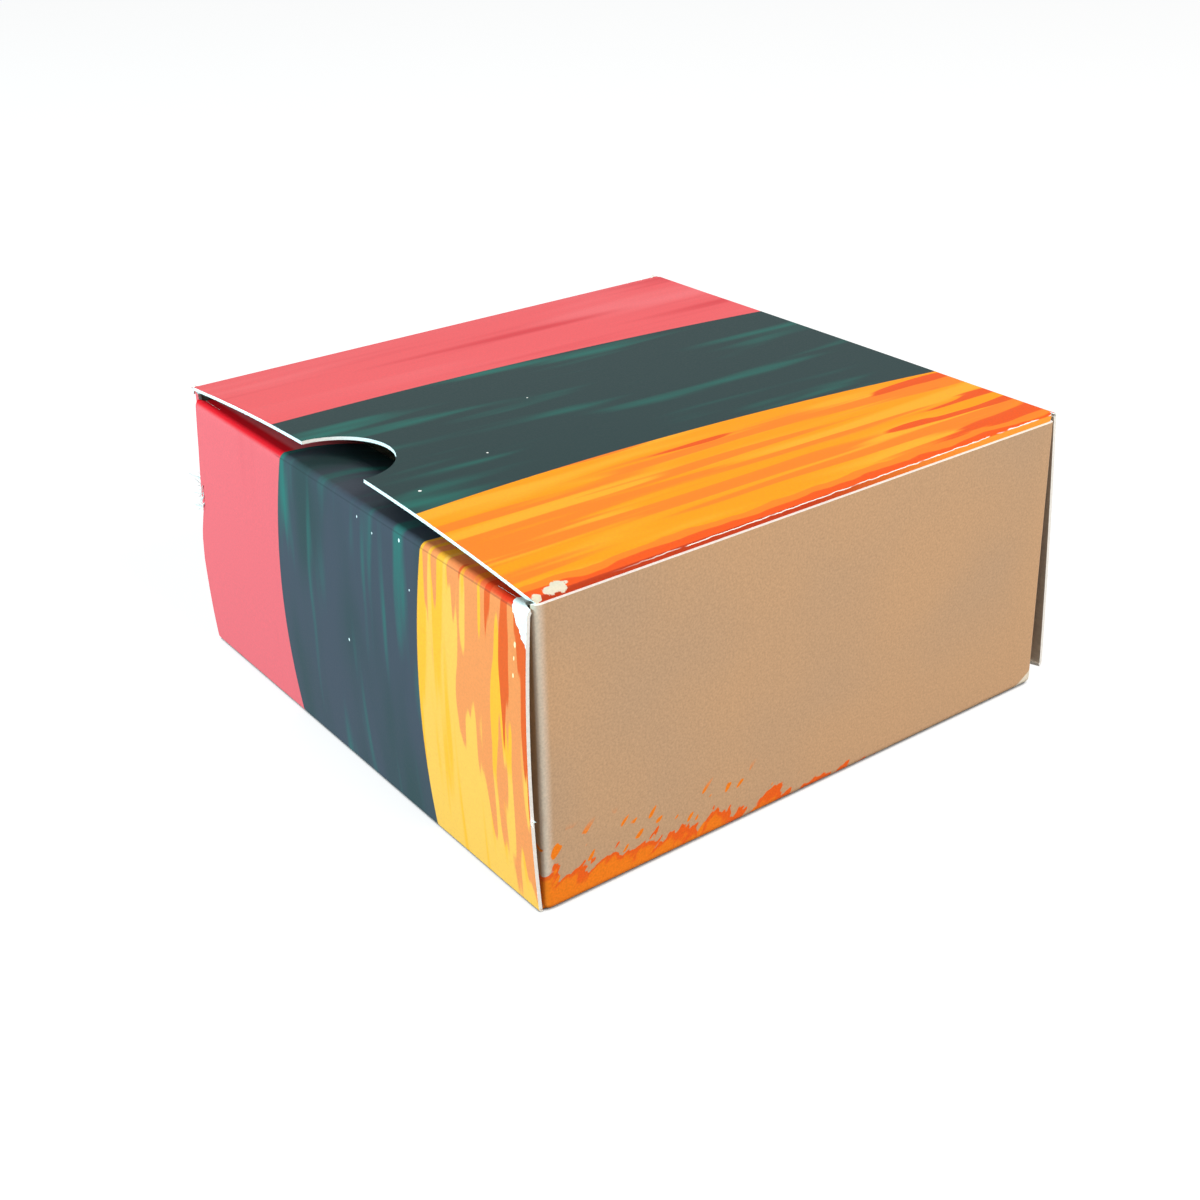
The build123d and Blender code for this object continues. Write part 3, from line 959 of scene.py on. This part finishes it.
class CARTON_OT_lay_creases(bpy.types.Operator):
    """Lay the thin skin of board that each lid turns on"""

    bl_idname = "carton.lay_creases"
    bl_label = "Lay creases"

    def execute(self, context):
        sizes = context.scene.carton_sizes
        half, reach = sizes.lid_width / 2 / MM, sizes.hinge / MM
        for lid, printed in (("front_lid", "lid printed board"), ("rear_lid", "top printed board")):
            left = -half + (LID_EDGE[0][1] if lid == "front_lid" else 0.0)
            sheet = new_sheet(f"{lid}_crease", (left, 0.0, 0.0), (half, reach, 0.0))
            pick(sheet, "EDGE", lambda p: near(p.y, 0.0))
            draw_out(0, 0, reach)
            pick(sheet, "EDGE", lambda p: near(p.y, 0.0) and near(p.z, 0.0))
            rounding = HINGE_ROUND * sizes.hinge
            bpy.ops.mesh.bevel(offset=rounding, segments=HINGE_STEPS, affect="EDGES", clamp_overlap=False)
            score("X", PANEL_SCORES)
            clean_sheet()
            outward(sheet, lambda p: p.z > HINGE_ROUND * reach, (0, -1, 0))
            use_materials(sheet, printed, *BARE)
            give_thickness(sheet, sizes.skin)
            place = at_hinge(lid)
            sheet.data.transform(place)
            finish_sheet(sheet, None, "lid_board")
            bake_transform(sheet)
        return {"FINISHED"}


class CARTON_OT_tease_fibres(bpy.types.Operator):
    """Tease out the paper fibres at the torn edges of the front lid and of the top panel"""

    bl_idname = "carton.tease_fibres"
    bl_label = "Tease fibres"

    def execute(self, context):
        strand = self.strand()
        chance = random.Random(FIBRE_SEED)
        for name, body, slot, printed, rows in (
            ("front_lid_fibres", "front_lid", "lid_board", "lid printed board", LID_FIBRES),
            ("carton_fibres", "carton", "carton_board", "top printed board", CARTON_FIBRES),
        ):
            bpy.ops.object.select_all(action="DESELECT")
            for count, start, stop, lean, short, long, sides in rows:
                for _ in range(count):
                    root = Vector(start).lerp(Vector(stop), chance.random())
                    stray = Vector([chance.uniform(-FIBRE_STRAY, FIBRE_STRAY) for _ in range(3)])
                    turn = (Vector(lean) + stray).to_track_quat("Z", "Y").to_matrix().to_4x4()
                    spin = Matrix.Rotation(chance.uniform(0, 2 * math.pi), 4, "Z")
                    length, width = chance.uniform(short, long), chance.uniform(*FIBRE_WIDTHS)
                    scale = Matrix.Diagonal((width, FIBRE_FLATNESS * width, length, 1.0))
                    shred = bpy.data.objects.new(name, strand.data.copy())
                    shred.data.transform(Matrix.Translation(root * MM) @ turn @ spin @ scale)
                    side = chance.choice(sides)
                    shred.data.polygons.foreach_set("material_index", [side] * len(shred.data.polygons))
                    context.collection.objects.link(shred)
                    shred.select_set(True)
            context.view_layer.objects.active = shred
            bpy.ops.object.join()
            shred.name = name
            use_materials(shred, BARE[1], printed)
            finish_sheet(shred, body, slot)
        bpy.data.objects.remove(strand)
        return {"FINISHED"}

    def strand(self):
        """One shred of fibre, a millimetre long and wide, that tapers and curls."""
        bpy.ops.mesh.primitive_cone_add(
            vertices=STRAND_SIDES, radius1=STRAND_ROOT * MM, radius2=STRAND_TIP * MM, depth=MM
        )
        strand = bpy.context.object
        bpy.ops.object.mode_set(mode="EDIT")
        score("Z", STRAND_SCORES)
        bend(strand, lambda p: (p.x + STRAND_CURL * (p.z + 0.5) ** 2, p.y, p.z + 0.5))
        clean_sheet()
        bpy.ops.object.mode_set(mode="OBJECT")
        return strand


class CARTON_OT_set_stage(bpy.types.Operator):
    """Set the floor, the light and the camera"""

    bl_idname = "carton.set_stage"
    bl_label = "Set stage"

    def execute(self, context):
        self.lay_floor()
        self.light(context)
        self.look(context)
        return {"FINISHED"}

    def lay_floor(self):
        """A wide pale floor, which the camera sees lifted towards white.

        The lift fades out where ambient occlusion finds the floor shut in under the carton's folds, a painted
        contact shadow that keeps the dark line where it touches.
        """
        bpy.ops.mesh.primitive_plane_add(size=FLOOR_WIDTH, location=(0, 0, -FLOOR_DROP * MM))
        floor = bpy.context.object
        floor.name = "studio_floor"
        material = bpy.data.materials.new("matt white paper sweep")
        tree = new_tree(material)
        reach = {"Distance": TOUCH_REACH * MM}
        open_sky = wire(tree, "ShaderNodeAmbientOcclusion", reach, out="AO", samples=TOUCH_SAMPLES)
        clear = wire(tree, RANGE, {0: open_sky, 1: TOUCH_SHUT, 2: TOUCH_OPEN, 4: FLOOR_LIFT}, **SMOOTH)
        lift = wire(tree, MATH, {0: seen_ray(tree), 1: clear}, **TIMES)
        white = wire(tree, "ShaderNodeEmission", {"Color": (1, 1, 1, 1), "Strength": lift})
        paper = wire(tree, "ShaderNodeBsdfDiffuse", {"Color": rgba(linear(FLOOR_COLOUR))})
        sweep = wire(tree, "ShaderNodeAddShader", {0: white, 1: paper})
        wire(tree, "ShaderNodeOutputMaterial", {"Surface": sweep})
        floor.data.materials.append(material)

    def light(self, context):
        """A weak lamp overhead, a cool one before the front lid, a warm one at the right, an even room."""
        for name, (place, target, wide, watts, colour) in LAMPS.items():
            lamp = bpy.data.lights.new(name, "AREA")
            lamp.size = wide
            lamp.energy = watts
            lamp.color = colour
            holder = bpy.data.objects.new(name, lamp)
            holder.location = place
            holder.rotation_euler = (Vector(target) - Vector(place)).to_track_quat("-Z", "Y").to_euler()
            context.scene.collection.objects.link(holder)
        world = bpy.data.worlds.new("even room")
        context.scene.world = world
        tree = new_tree(world)
        level = wire(tree, RANGE, {0: seen_ray(tree), 3: ROOM_LEVEL, 4: 1.0})
        room = wire(tree, "ShaderNodeBackground", {"Color": (1, 1, 1, 1), "Strength": level})
        wire(tree, "ShaderNodeOutputWorld", {"Surface": room})

    def look(self, context):
        """The camera where the photograph was taken from."""
        turn, rise, roll = (math.radians(angle) for angle in VIEW_ANGLES)
        aim = Matrix.Translation(Vector(VIEW_TARGET) * MM) @ Matrix.Rotation(turn, 4, "Z")
        aim = aim @ Matrix.Rotation(math.pi / 2 - rise, 4, "X") @ Matrix.Rotation(roll, 4, "Z")
        camera = bpy.data.cameras.new("photo_camera")
        camera.lens = PHOTO_FOCAL / PHOTO_WIDTH * camera.sensor_width
        camera.shift_x = 0.5 - PHOTO_CENTRE[0] / PHOTO_WIDTH
        camera.shift_y = PHOTO_CENTRE[1] / PHOTO_WIDTH - 0.5
        camera.clip_start = CLIP_START
        holder = bpy.data.objects.new("photo_camera", camera)
        holder.matrix_world = aim @ Matrix.Translation((0, 0, VIEW_DISTANCE * MM))
        context.scene.collection.objects.link(holder)
        context.scene.camera = holder
        context.scene.view_settings.view_transform = "Standard"


class CARTON_PT_sidebar(bpy.types.Panel):
    """The carton's sizes, inks and steps"""

    bl_label = "Gift carton"
    bl_idname = "CARTON_PT_sidebar"
    bl_space_type = "VIEW_3D"
    bl_region_type = "UI"
    bl_category = "Carton"

    def draw(self, context):
        for group in (context.scene.carton_sizes, context.scene.carton_inks):
            for name in group.__annotations__:
                self.layout.prop(group, name)
        for step in STEPS:
            self.layout.operator(step.bl_idname)


STEPS = (
    CARTON_OT_mix_inks,
    CARTON_OT_fold_carton,
    CARTON_OT_fold_lids,
    CARTON_OT_lay_creases,
    CARTON_OT_tease_fibres,
    CARTON_OT_set_stage,
)
CLASSES = (CartonSizes, CartonInks, *STEPS, CARTON_PT_sidebar)


def register():
    for part in CLASSES:
        bpy.utils.register_class(part)
    bpy.types.Scene.carton_sizes = bpy.props.PointerProperty(type=CartonSizes)
    bpy.types.Scene.carton_inks = bpy.props.PointerProperty(type=CartonInks)


def unregister():
    del bpy.types.Scene.carton_inks
    del bpy.types.Scene.carton_sizes
    for part in reversed(CLASSES):
        bpy.utils.unregister_class(part)


def main():
    register()
    bpy.ops.carton.mix_inks()
    bpy.ops.carton.fold_carton()
    bpy.ops.carton.fold_lids()
    bpy.ops.carton.lay_creases()
    bpy.ops.carton.tease_fibres()
    bpy.ops.carton.set_stage()


if __name__ == "__main__":
    main()
